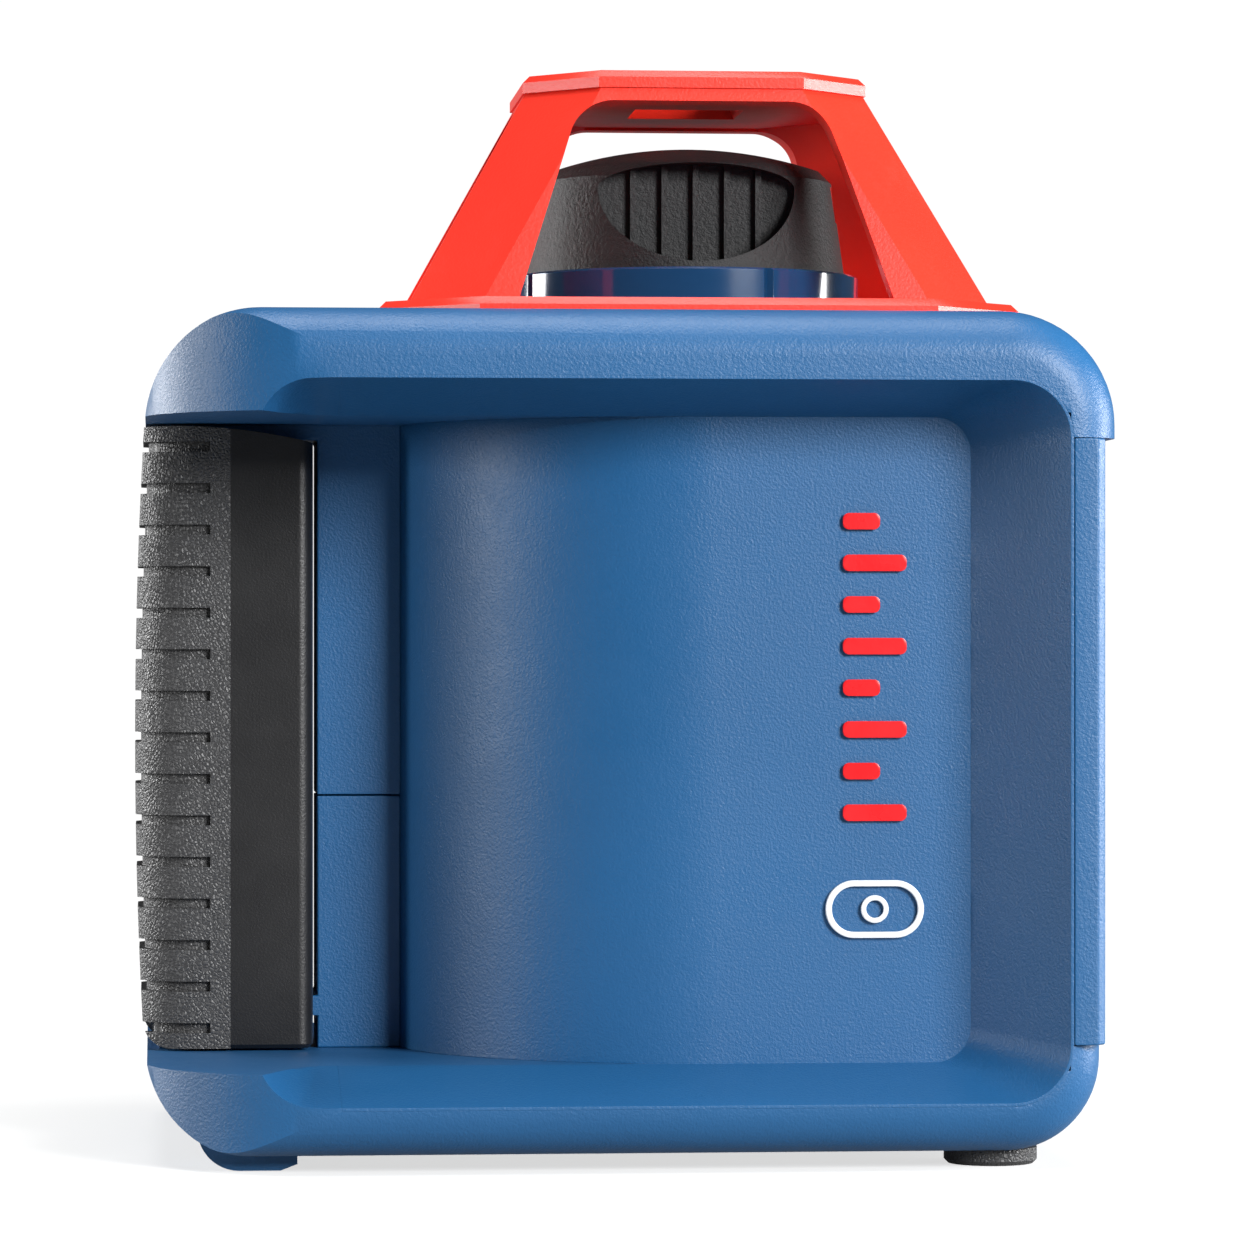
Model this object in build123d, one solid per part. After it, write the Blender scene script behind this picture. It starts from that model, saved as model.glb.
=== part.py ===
from build123d import *
import os
from math import asin, cos, radians, sin

os.makedirs("parts", exist_ok=True)

# Rotating laser level with a self-levelling laser unit. Millimetres, +Z up. The origin is the mouth
# of the tripod thread in the base, on the plane that the feet stand on, and the rotor turns about Z.
# The carrying grip is the -X end, and it is also the lid of the battery column. The flat +X end is
# the side that the tool lies on for vertical work. The keypad is on the +Y side.

# ---- Housing ----
REAR_X = -110.0            # rear face of both caps
FRONT_X = 72.4             # outer face of the end plate
CAP_PROUD = 3.0            # the top cap and the side feet stand this far out of the end plate
HALF_WIDTH = 84.0          # rotor axis to either side face
DECK_Z = 164.0             # top of the housing
SOLE_Z = 3.2               # underside of the bottom cap, above the plane of the feet
WAIST_LOW_Z = 19.0         # top face of the bottom cap, where the grip stands
WAIST_HIGH_Z = DECK_Z - 19.8   # underside of the top cap, above the grip
WALL = 2.5                 # moulded wall
SIDE_EDGE_R = 9.5          # rounding between a cap's side face and its top, end or sole
TOP_FRONT_R = 22.0
TOP_REAR_R = 22.0
SOLE_FRONT_R = 18.0
SOLE_REAR_R = 20.0
PLAN_REAR_R = 37.0         # rounding of the caps' rear corners, seen from above
END_PLATE_T = 6.9
END_PLATE_INSET = 4.7      # end plate's ends, in from the levels of the waist
CORE_R = 60.0              # half-round core wall, about the rotor axis, tangent to the side panels
LIP_REAR_X = REAR_X + 20.0     # rear end of the side recess, at its lip
LIP_RISE = 6.1             # the recess's lip is this much wider than its floor, up and down
LIP_RUN = 15.6             # and this much longer at its front end
LIP_R = 11.0
LIP_EDGE = 0.6             # thickness of a side shell at the lip
PARTING_X = REAR_X + PLAN_REAR_R   # rear end of a side shell's flange
SEAM_GAP = 0.3             # shadow line between housing pieces

# ---- Head, cage and rotor ----
CAGE_FLANGE_X = 64.0
CAGE_FLANGE_Y = 50.0
CAGE_FLANGE_T = 4.0
CAGE_FLANGE_CUT = 19.0     # corner cut of the octagonal flange
CAGE_FOOT_X = 58.0
CAGE_FOOT_Y = 45.0
CAGE_FOOT_CUT = 14.0
CAGE_ROOF_X = 34.6
CAGE_ROOF_Y = 34.0
CAGE_ROOF_CUT = 14.2
CAGE_TOP_Z = DECK_Z + 50.0
CAGE_ROOF_T = 3.5
CAGE_WALL = 5.5
RING_R = 35.4
RING_WALL = 1.5
RING_TOP_Z = DECK_Z + 11.0
ROTOR_FOOT_R = 32.8
ROTOR_SHOULDER_R = 29.9
ROTOR_FOOT_Z = RING_TOP_Z - 1.5
ROTOR_SHOULDER_Z = ROTOR_FOOT_Z + 20.5
ROTOR_TOP_Z = ROTOR_SHOULDER_Z + 7.0
ROTOR_WALL = 2.0
SCOOP_Y = 20.5             # flat back wall of the two finger scoops
SCOOP_HALF = 19.8
SCOOP_CENTRE_Z = ROTOR_SHOULDER_Z - 2.5
SCOOP_DOWN = 15.2
SCOOP_UP = 4.8

# ---- Levelling mechanism ----
PIVOT_Z = DECK_Z + 1.0            # both tilt axes cross here
TUBE_R = 11.0
NECK_R = 7.5               # seat of the two rotor bearings
BEARING_R = 12.0
BEARING_T = 5.0
HUB_R = 14.5
RING_IN_R = 15.5           # gimbal ring
RING_OUT_R = 19.5
PIVOT_PIN_R = 1.5
RUN_FIT = 0.05             # radial clearance of a running fit
ARM_Z = PIVOT_Z - 21.0              # level of the two tilt arms
ARM_REACH = 28.5           # rotor axis to the ball that drives an arm
SCREW_REACH = 37.0         # rotor axis to the tilt screw
BALL_R = 3.0
BALL_GAP = 0.35
SCREW_R = 2.0
PULLEY_R = 4.0
MOTOR_ANGLE = 135.0        # direction of the drive motor from the rotor axis
MOTOR_REACH = HUB_R + PULLEY_R + 5.5
MOTOR_R = 7.5

# ---- Grip, battery and keypad ----
GRIP_DEPTH = 35.5
GRIP_PROUD = 2.0           # the bowed back stands this far out of the caps
GRIP_X = REAR_X - GRIP_PROUD + GRIP_DEPTH / 2   # centre of the grip's section
GRIP_HALF = 20.0
GRIP_R = 12.0              # rounding of its two rear corners
GRIP_BOW = 1.8             # the back of the grip is bowed by this much
GRIP_GAP = 0.5             # clearance to both caps
PAD_T = 2.4
SLOT_COUNT = 15
SLOT_H = 2.0
SLOT_DEPTH = 1.2
COLUMN_HALF = 12.0         # half width of the battery column's strip
CELL_R = 13.1
CELL_H = 50.0
COLUMN_SEAM_Z = WAIST_LOW_Z + 50.8
HINGE_PIN_R = 1.5
THREAD_R = 6.9             # crest of a 5/8 inch 11 thread
THREAD_LENGTH = 14.0
INSERT_R = 10.5
INSERT_FLANGE_R = 15.0
BUTTON_R = 6.0
BUTTON_TRAVEL = 1.2
KEYPAD_X = 25.0
KEYPAD_LOW_Z = WAIST_LOW_Z + 33.0
KEYPAD_PITCH = 18.0
KEYPAD_Z = [KEYPAD_LOW_Z + KEYPAD_PITCH * number for number in range(4)]


def block(x0, x1, y0, y1, z0, z1):
    """A box between two corners."""
    return Pos((x0 + x1) / 2, (y0 + y1) / 2, (z0 + z1) / 2) * Box(x1 - x0, y1 - y0, z1 - z0)


def rod(r, z0, z1, x=0.0, y=0.0):
    """An upright cylinder."""
    return Pos(x, y, (z0 + z1) / 2) * Cylinder(r, z1 - z0)


def rod_x(r, x0, x1, y, z):
    """A cylinder along X."""
    return Pos((x0 + x1) / 2, y, z) * Rot(0, 90, 0) * Cylinder(r, x1 - x0)


def rod_y(r, y0, y1, x, z):
    """A cylinder along Y."""
    return Pos(x, (y0 + y1) / 2, z) * Rot(90, 0, 0) * Cylinder(r, y1 - y0)


def far(shape):
    """The same shape on the +Y side."""
    return mirror(shape, about=Plane.XZ)


def save(name, *pieces):
    """Write one node, as one solid or as a group of separate solids."""
    solids = [solid for piece in pieces for solid in piece.solids()]
    shape = solids[0] if len(solids) == 1 else Compound(children=solids)
    export_step(shape, "parts/" + name + ".step")
    return shape


# ---- Forms that the housing pieces share ----
mid_z = (WAIST_LOW_Z + WAIST_HIGH_Z) / 2
lip_front_x = FRONT_X - END_PLATE_T
floor_front_x = lip_front_x - LIP_RUN
floor_rear_x = LIP_REAR_X + LIP_RISE
plate_low_z = WAIST_LOW_Z + END_PLATE_INSET
plate_high_z = WAIST_HIGH_Z - END_PLATE_INSET
big = 4 * HALF_WIDTH       # reaches past the housing every way


def cap_form(x_end, z0, z1, r_front, r_rear, inset=0.0):
    """An end cap between the levels z0 and z1: its side view, round-cornered at z1, carried across,
    with all its side edges rounded, and the rear corners cut round in plan."""
    x0, x1 = REAR_X + inset, x_end - inset
    y1 = HALF_WIDTH - inset
    z_end = z1 - inset if z1 > z0 else z1 + inset
    form = block(x0, x1, -y1, y1, min(mid_z, z_end), max(mid_z, z_end))
    for x, r in ((x1, r_front), (x0, r_rear)):
        form = fillet(form.edges().filter_by(Axis.Y).sort_by_distance((x, 0, z_end))[0], r - inset)
    for face in (form.faces().sort_by(Axis.Y)[0], form.faces().sort_by(Axis.Y)[-1]):
        y = face.center().Y
        rim = form.edges().filter_by(lambda e: abs(e.center().Y - y) < 0.01 and abs(e.center().Z - mid_z) > 1)
        form = fillet(rim, SIDE_EDGE_R - inset)
    plan = block(x0, big, -y1, y1, -big, big)
    plan = fillet(plan.edges().filter_by(Axis.Z).sort_by(Axis.X)[0:2], PLAN_REAR_R - inset)
    return form & plan & block(-big, big, -big, big, min(z0, z_end), max(z0, z_end))


def recess_form(grow_floor=0.0, grow_lip=0.0):
    """The side recess on -Y: a funnel from its lip at the side face in to the flat panel."""
    def outline(y, x_rear, x_front, z_low, z_high, r):
        return Plane.XZ.offset(y) * Pos((x_rear + x_front) / 2, (z_low + z_high) / 2) * \
            RectangleRounded(x_front - x_rear, z_high - z_low, r)
    floor = outline(CORE_R - grow_floor, floor_rear_x - grow_floor, floor_front_x + grow_floor,
                    WAIST_LOW_Z - grow_floor, WAIST_HIGH_Z + grow_floor, LIP_R - 4 + grow_floor)
    lip = outline(HALF_WIDTH, LIP_REAR_X - grow_lip, lip_front_x + grow_lip,
                  WAIST_LOW_Z - LIP_RISE - grow_lip, WAIST_HIGH_Z + LIP_RISE + grow_lip, LIP_R + grow_lip)
    return loft([floor, lip]) + extrude(lip, 5)


def core_form(inset, z0, z1, x_end):
    """The D-shaped core: half round about the rotor axis, then flat sides to x_end."""
    r = CORE_R - inset
    half = rod(r, z0, z1) & block(-big, 0, -big, big, z0, z1)
    return half + block(0, x_end, -r, r, z0, z1)


recess_near = recess_form()
recess_near_shell = recess_form(WALL, LIP_EDGE)
recess_near_keep = recess_form(2 * WALL, 2 * WALL)
core = core_form(0, WAIST_LOW_Z, WAIST_HIGH_Z, lip_front_x)
waist = block(-big, lip_front_x, -big, big, WAIST_LOW_Z, WAIST_HIGH_Z)
behind_core = block(-big, 0, -big, big, WAIST_LOW_Z, WAIST_HIGH_Z) - core
front_of_parting = block(PARTING_X, big, -big, big, -big, big)

# Side shells: recess funnel with its flat panel, running on into half of the round core wall.
core_wall = core - core_form(WALL, WAIST_LOW_Z, WAIST_HIGH_Z, lip_front_x)
shell = (recess_near_shell - recess_near) & front_of_parting
shell = shell & block(-big, big, -HALF_WIDTH, 0, -big, big)
shell = shell - behind_core
near_half = block(-CORE_R, 0, -CORE_R, -SEAM_GAP / 2, WAIST_LOW_Z, WAIST_HIGH_Z)
side_shell_near = shell + (core_wall & near_half)
flange_near = recess_near_shell & front_of_parting

# Top cap: deck with the rotor opening, closed underneath except over the core.
DECK_HOLE_R = RING_R - RING_WALL - 2.9
top_cap = cap_form(FRONT_X + CAP_PROUD, plate_high_z, DECK_Z, TOP_FRONT_R, TOP_REAR_R)
hollow = cap_form(FRONT_X + CAP_PROUD, plate_high_z, DECK_Z, TOP_FRONT_R, TOP_REAR_R, WALL)
hollow = hollow & block(-big, big, -big, big, WAIST_HIGH_Z + WALL, big)
hollow = hollow - recess_near_keep - far(recess_near_keep)
top_cap = top_cap - waist - hollow - recess_near - far(recess_near) - flange_near - far(flange_near)
top_cap = top_cap - core_form(WALL, WAIST_HIGH_Z - 1, WAIST_HIGH_Z + 2 * WALL, lip_front_x)
top_cap = top_cap - rod(DECK_HOLE_R, WAIST_HIGH_Z, DECK_Z + 1)

# Bottom cap: the same form turned over, with two skids under its rear corners.
bottom_cap = cap_form(FRONT_X, plate_low_z, SOLE_Z, SOLE_FRONT_R, SOLE_REAR_R)
hollow = cap_form(FRONT_X, plate_low_z, SOLE_Z, SOLE_FRONT_R, SOLE_REAR_R, WALL)
hollow = hollow & block(-big, big, -big, big, -big, WAIST_LOW_Z - WALL)
hollow = hollow - recess_near_keep - far(recess_near_keep)
bottom_cap = bottom_cap - waist - hollow - recess_near - far(recess_near) - flange_near - far(flange_near)
bottom_cap = bottom_cap - core_form(WALL, WAIST_LOW_Z - 2 * WALL, WAIST_LOW_Z + 1, lip_front_x)

# Skids run on from the round rear corners and end in a slanted face.
SKID_LENGTH = 19.0
SKID_Y = (44.0, 70.0)
skid_x = REAR_X + SOLE_REAR_R + 9
skid = block(skid_x - SKID_LENGTH, skid_x, -SKID_Y[1], -SKID_Y[0], 0, 3 * SOLE_Z)
skid = fillet(skid.edges().filter_by(Axis.Y).sort_by_distance((skid_x - SKID_LENGTH, 0, 0))[0], 8)
skid = chamfer(skid.edges().filter_by(Axis.Y).sort_by_distance((skid_x, 0, 0))[0], SOLE_Z, 1.2)
bottom_cap = bottom_cap + skid + far(skid)

# Tie screws run from the sole, through posts in the side shells, into bosses under the deck.
POST_R = 4.5
TIE_R = 2.0
TIE_HEAD_R = 3.8
post_reach = CORE_R - WALL - POST_R + 0.6
POST_TURN = radians(36.0)  # direction of the rear posts, round from the Y axis
post_places = ((floor_front_x - POST_R, post_reach),
               (-post_reach * sin(POST_TURN), post_reach * cos(POST_TURN)))
boss_top_z = DECK_Z - WALL
ties = []
for x, y in post_places:
    post = rod(POST_R, WAIST_LOW_Z, WAIST_HIGH_Z, x, -y) - rod(TIE_R + 0.1, 0, DECK_Z, x, -y)
    side_shell_near = side_shell_near - rod(POST_R - 0.5, WAIST_LOW_Z, WAIST_HIGH_Z, x, -y) + post
    for sense in (-1, 1):
        low_boss = rod(POST_R, SOLE_Z + 1, WAIST_LOW_Z, x, sense * y)
        high_boss = rod(POST_R, WAIST_HIGH_Z, boss_top_z + 1, x, sense * y)
        for flange in (flange_near, far(flange_near)):
            low_boss = low_boss - flange
            high_boss = high_boss - flange
        bottom_cap = bottom_cap + low_boss - rod(TIE_R + 0.1, 0, DECK_Z, x, sense * y)
        bottom_cap = bottom_cap - rod(TIE_HEAD_R + 0.3, 0, SOLE_Z + 4, x, sense * y)
        top_cap = top_cap + high_boss - rod(TIE_R + 0.05, 0, DECK_Z - 8, x, sense * y)
        head = rod(TIE_HEAD_R, SOLE_Z + 0.6, SOLE_Z + 4, x, sense * y)
        head = head - Pos(x, sense * y, SOLE_Z) * extrude(RegularPolygon(1.7, 6), 2.4)
        ties.append(head + rod(TIE_R, SOLE_Z + 4, DECK_Z - 9, x, sense * y))
save("tie_screws", *ties)

# End plate: a shallow tray that closes the +X end of the housing.
INSERT_Z = 80.0            # height of the thread in the flat end
insert_x = FRONT_X - THREAD_LENGTH
end_plate = block(lip_front_x + LIP_EDGE, FRONT_X, -HALF_WIDTH, HALF_WIDTH, plate_low_z + SEAM_GAP / 2,
                  plate_high_z - SEAM_GAP / 2)
end_plate = chamfer(end_plate.edges().filter_by(Axis.Z).sort_by(Axis.X)[-2:], 1.6)
end_plate = end_plate - block(0, FRONT_X - WALL, -CORE_R, CORE_R, plate_low_z + 5, plate_high_z - 5)
end_plate = end_plate - flange_near - far(flange_near) - recess_near - far(recess_near)
end_plate = end_plate + rod_x(INSERT_R + WALL, FRONT_X - 10, FRONT_X - WALL, 0, INSERT_Z)
end_plate = end_plate - rod_x(INSERT_R, 0, big, 0, INSERT_Z)
end_plate = end_plate - rod_x(INSERT_FLANGE_R, FRONT_X - 2, big, 0, INSERT_Z)
save("end_plate", end_plate)

insert = rod_x(INSERT_R, insert_x, FRONT_X - 2, 0, INSERT_Z) + \
    rod_x(INSERT_FLANGE_R, FRONT_X - 2, FRONT_X, 0, INSERT_Z)
save("tripod_insert_side", insert - rod_x(THREAD_R, 0, big, 0, INSERT_Z))

insert = rod(INSERT_R, SOLE_Z, THREAD_LENGTH) + rod(INSERT_FLANGE_R, 0, SOLE_Z)
save("tripod_insert_base", insert - rod(THREAD_R, -1, DECK_Z))
bottom_cap = bottom_cap + rod(INSERT_R + WALL, SOLE_Z, THREAD_LENGTH) - rod(INSERT_R, 0, DECK_Z)

# Two rubber feet under the front corners; their studs are pressed into the sole.
FOOT_R = 9.0
FOOT_STUD_R = 3.0
foot_x, foot_y = lip_front_x - 1.4 * FOOT_R, HALF_WIDTH - 2.1 * FOOT_R
feet = []
for sense in (-1, 1):
    foot = rod(FOOT_R, 0, SOLE_Z, foot_x, sense * foot_y)
    foot = chamfer(foot.edges().sort_by(Axis.Z)[0], 0.8)
    feet.append(foot + rod(FOOT_STUD_R, SOLE_Z, SOLE_Z + WALL, foot_x, sense * foot_y))
    bottom_cap = bottom_cap - rod(FOOT_STUD_R, 0, DECK_Z / 2, foot_x, sense * foot_y)
save("front_feet", *feet)

# Battery column beside the grip: two stacked channels, with a tongue at each end for the cells.
column_x = GRIP_X + GRIP_DEPTH / 2 + 1.0
cell_x = GRIP_X + 2.7
cell_low_z = WAIST_LOW_Z + 11
cell_high_z = cell_low_z + 2 * CELL_H
hinge_x = GRIP_X - GRIP_DEPTH / 2 + GRIP_BOW + 6
hinge_z = WAIST_LOW_Z + GRIP_GAP + 6
tongue_x = hinge_x + 3.7
core_solid = rod(CORE_R, 0, DECK_Z)
column = block(column_x, -CORE_R / 2, -COLUMN_HALF, COLUMN_HALF, WAIST_LOW_Z, WAIST_HIGH_Z) - core_solid
column = column - block(column_x + WALL, 0, WALL - COLUMN_HALF, COLUMN_HALF - WALL,
                        WAIST_LOW_Z + 5, WAIST_HIGH_Z - 5)
low_tongue = block(tongue_x, column_x + 1, -COLUMN_HALF, COLUMN_HALF, cell_low_z - 4.5, cell_low_z - 0.5)
high_tongue = block(tongue_x, column_x + 1, -COLUMN_HALF, COLUMN_HALF, WAIST_HIGH_Z - 3, WAIST_HIGH_Z)
seam = block(-big, 0, -big, big, COLUMN_SEAM_Z - SEAM_GAP / 2, COLUMN_SEAM_Z + SEAM_GAP / 2)
column = column + low_tongue + high_tongue - seam
save("battery_case_lower", column & block(-big, 0, -big, big, 0, COLUMN_SEAM_Z))
save("battery_case_upper", column & block(-big, 0, -big, big, COLUMN_SEAM_Z, DECK_Z))

cells = []
for step in range(2):
    z = cell_low_z + step * CELL_H
    cell = rod(CELL_R, z + 0.3, z + CELL_H - 2, cell_x)
    cells.append(fillet(cell.edges(), 0.8) + rod(3, z + CELL_H - 3, z + CELL_H, cell_x))
save("battery_cells", *cells)
save("battery_contact", block(cell_x - 7, cell_x + 7, -7, 7, cell_low_z - 0.5, cell_low_z + 0.3))
coil_z0, coil_z1 = cell_high_z, WAIST_HIGH_Z - 3
coil = sweep(Plane((cell_x + 4.5, 0, coil_z0 + 0.6), z_dir=(0, 1, 0.2)) * Circle(0.45),
             Pos(cell_x, 0, coil_z0 + 0.6) * Helix(2.9, coil_z1 - coil_z0 - 1.2, 4.5))
coil_plate = rod(6.5, coil_z1 - 0.7, coil_z1, cell_x)
save("battery_spring", coil + coil_plate)

# Grip: the smooth body is the lid of the battery column, hinged at its foot; a rubber pad wraps
# round its back. The back is bowed, its foot is rounded about the hinge pin, and its top is cut to
# the circle that it swings on, so that it clears the top cap.
back_x = GRIP_X - GRIP_DEPTH / 2
grip_low_z, grip_high_z = WAIST_LOW_Z + GRIP_GAP, WAIST_HIGH_Z - GRIP_GAP
grip_front_x = GRIP_X + GRIP_DEPTH / 2
pad_x = GRIP_X + 1.25      # front edge of the pad
swing = rod_y(grip_high_z - hinge_z, -big, big, hinge_x, hinge_z)


def grip_plan(inset):
    """The grip seen from above, or its body under the pad."""
    plan = Pos(GRIP_X + inset / 2, 0) * Rectangle(GRIP_DEPTH - inset, 2 * (GRIP_HALF - inset))
    plan = fillet(plan.vertices().sort_by(Axis.X)[0:2], GRIP_R - inset)
    return fillet(plan.vertices().sort_by(Axis.X)[-2:], 3.0)


def grip_form(inset):
    """The grip's outer form, or the form of its body under the pad."""
    end_x = back_x + GRIP_BOW + inset
    side = Plane.XZ * make_face([
        Line((grip_front_x, grip_low_z), (end_x, grip_low_z)),
        ThreePointArc((end_x, grip_low_z), (back_x + inset, mid_z), (end_x, grip_high_z)),
        Line((end_x, grip_high_z), (grip_front_x, grip_high_z)),
        Line((grip_front_x, grip_high_z), (grip_front_x, grip_low_z))])
    foot = side.vertices().sort_by_distance((end_x, 0, grip_low_z))[0]
    side = fillet(foot, 5.5 - inset / 2)
    return extrude(grip_plan(inset), DECK_Z) & extrude(side, HALF_WIDTH, both=True) & swing


GRIP_WALL = 4.5
grip_outer = grip_form(0)
behind_pad_edge = block(-big, pad_x, -big, big, 0, DECK_Z)
grip_inner = grip_form(PAD_T)
grip_core = (grip_outer - behind_pad_edge) + (grip_inner & behind_pad_edge)
knuckle_gap = block(-big, hinge_x + 8, -12.5, 12.5, 0, hinge_z + 4.5)
inner_half = GRIP_HALF - GRIP_WALL
cell_space = block(back_x + GRIP_BOW + PAD_T + 2.4, 0, -inner_half, inner_half, 0, DECK_Z)
cell_space = fillet(cell_space.edges().filter_by(Axis.Z).sort_by(Axis.X)[0:2], 9)
grip_core = grip_core - cell_space - knuckle_gap - rod_y(HINGE_PIN_R + RUN_FIT, -big, big, hinge_x, hinge_z)
grip_core = chamfer(grip_core.edges().filter_by(Axis.Y).filter_by(
    lambda e: e.center().X > grip_front_x - 0.1 and e.center().Z < grip_low_z + 0.1), 0.8)
save("grip_core", grip_core)

grip_pad = ((grip_outer - grip_inner) & behind_pad_edge) - knuckle_gap
slot_pitch = (grip_high_z - grip_low_z) / SLOT_COUNT
slots = []
for number in range(SLOT_COUNT):
    z = grip_low_z + (number + 0.5) * slot_pitch
    bow = GRIP_BOW * ((z - mid_z) / (grip_high_z - mid_z)) ** 2
    band = block(-big, pad_x - 4, -big, big, z - SLOT_H / 2, z + SLOT_H / 2)
    slots.append(band - extrude(Pos(bow, 0, z - SLOT_H) * grip_plan(SLOT_DEPTH), 2 * SLOT_H))
grip_pad = grip_pad - slots
save("grip_pad", grip_pad)

# Hinge knuckle on the bottom cap, between the cheeks of the grip, and its pin.
knuckle = block(hinge_x - 3, hinge_x + 3, -12, 12, WAIST_LOW_Z - 1, hinge_z)
knuckle = knuckle + rod_y(3, -12, 12, hinge_x, hinge_z)
bottom_cap = bottom_cap + knuckle - rod_y(HINGE_PIN_R, -12.5, 12.5, hinge_x, hinge_z)
save("hinge_pin", rod_y(HINGE_PIN_R, 4.8 - GRIP_HALF, GRIP_HALF - 4.8, hinge_x, hinge_z))

# ---- Cage, turret ring and seals ----
flange_top_z = DECK_Z + CAGE_FLANGE_T


def octagon(x, y, cut, z):
    """A rectangle with its corners cut off, at a level."""
    points = [(x, y - cut), (x - cut, y), (cut - x, y), (-x, y - cut),
              (-x, cut - y), (cut - x, -y), (x - cut, -y), (x, cut - y)]
    return Pos(0, 0, z) * make_face(Polyline(*points, close=True))


roof_z = CAGE_TOP_Z - CAGE_ROOF_T
ring_seat_r = RING_R - RING_WALL
flange = extrude(octagon(CAGE_FLANGE_X, CAGE_FLANGE_Y, CAGE_FLANGE_CUT, DECK_Z), CAGE_FLANGE_T)
flange = chamfer(flange.faces().sort_by(Axis.Z)[-1].edges(), 1.5)
legs = loft([octagon(CAGE_FOOT_X, CAGE_FOOT_Y, CAGE_FOOT_CUT, flange_top_z - 0.5),
             octagon(CAGE_ROOF_X - 0.5, CAGE_ROOF_Y - 0.5, CAGE_ROOF_CUT, roof_z)])
inside = loft([octagon(CAGE_FOOT_X - CAGE_WALL, CAGE_FOOT_Y - CAGE_WALL, CAGE_FOOT_CUT - 2,
                       flange_top_z - 0.6),
               octagon(CAGE_ROOF_X - CAGE_WALL, CAGE_ROOF_Y - CAGE_WALL, CAGE_ROOF_CUT - 2, roof_z)])
roof = extrude(octagon(CAGE_ROOF_X, CAGE_ROOF_Y, CAGE_ROOF_CUT, roof_z), CAGE_ROOF_T)
roof = chamfer(roof.faces().sort_by(Axis.Z)[-1].edges(), 1.4)
roof = roof + extrude(octagon(CAGE_ROOF_X - 4, CAGE_ROOF_Y - 4, CAGE_ROOF_CUT - 1, roof_z - 2), 3)

# Windows: wide ones in the two side walls, narrower ones in the two end walls, coved at the top.
WINDOW_FOOT = 37.0
WINDOW_HEAD = 24.0
WINDOW_TOP_Z = CAGE_TOP_Z - 6.1
WINDOW_R = 9.0
END_WINDOW_SHARE = 0.62


def window(share, depth, turn):
    """A tapered opening through both opposite walls of the cage."""
    foot, head = WINDOW_FOOT * share, WINDOW_HEAD * share
    face = Plane.XZ * make_face(Polyline((-foot, flange_top_z), (foot, flange_top_z), (head, WINDOW_TOP_Z),
                                         (-head, WINDOW_TOP_Z), close=True))
    face = fillet(face.vertices().sort_by(Axis.Z)[-2:], WINDOW_R)
    return Rot(0, 0, turn) * extrude(face, depth, both=True)


cage = legs - inside - window(1.0, big, 0) - window(END_WINDOW_SHARE, big, 90) + flange + roof
plumb_hole = loft([Pos(0, 0, roof_z - 3) * Rectangle(23, 20), Pos(0, 0, CAGE_TOP_Z + 1) * Rectangle(16, 13)])
CAGE_SCREW_X, CAGE_SCREW_Y = CAGE_FLANGE_X - 13, CAGE_FLANGE_Y - 15
CAGE_SCREW_R = 1.5
cage = cage - plumb_hole - rod(RING_R, 0, flange_top_z + 1)
screws = []
for x in (-CAGE_SCREW_X, CAGE_SCREW_X):
    for y in (-CAGE_SCREW_Y, CAGE_SCREW_Y):
        cage = cage - rod(CAGE_SCREW_R, 0, flange_top_z - 0.8, x, y)
        top_cap = top_cap - rod(CAGE_SCREW_R + 0.2, WAIST_HIGH_Z + 4, DECK_Z + 1, x, y)
        screw = rod(CAGE_SCREW_R, boss_top_z, flange_top_z - 1, x, y)
        screws.append(screw + rod(2 * CAGE_SCREW_R, boss_top_z - 2, boss_top_z, x, y))
save("cage_screws", *screws)
save("head_cage", cage)

# Turret ring: stands in the flange's bore on a thin gasket, with four V-shaped notches in its rim.
GASKET_T = 0.8
NOTCH_COUNT = 4
turret_ring = rod(RING_R - RUN_FIT, DECK_Z + GASKET_T, RING_TOP_Z) - rod(ring_seat_r, 0, big)
turret_ring = chamfer(turret_ring.faces().sort_by(Axis.Z)[-1].edges(), 0.4)
for number in range(NOTCH_COUNT):
    notch = Rot(0, 0, 45) * Box(1.6, 1.6, 2 * (RING_TOP_Z - flange_top_z))
    angle = 22.5 + number * 360 / NOTCH_COUNT - 90
    turret_ring = turret_ring - Rot(0, 0, angle) * Pos(RING_R, 0, RING_TOP_Z) * notch
save("turret_ring", turret_ring)
save("head_gasket", rod(RING_R - RUN_FIT, DECK_Z, DECK_Z + GASKET_T) - rod(ring_seat_r - 1, 0, big))

# Case seals: soft loops round the core at its upper and lower end.
SEAL_T = 1.4
seals = []
for z in (WAIST_LOW_Z - SEAL_T, WAIST_HIGH_Z):
    seal = core_form(WALL, z, z + SEAL_T, lip_front_x - 3)
    seal = seal - core_form(WALL + SEAL_T, z - 1, z + 2 * SEAL_T, lip_front_x - 3 - SEAL_T)
    for x, y in post_places:
        for sense in (-1, 1):
            seal = seal - rod(POST_R + 0.3, z - 1, z + 2 * SEAL_T, x, sense * y)
    seals.append(seal)
save("case_seals", *seals)

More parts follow.
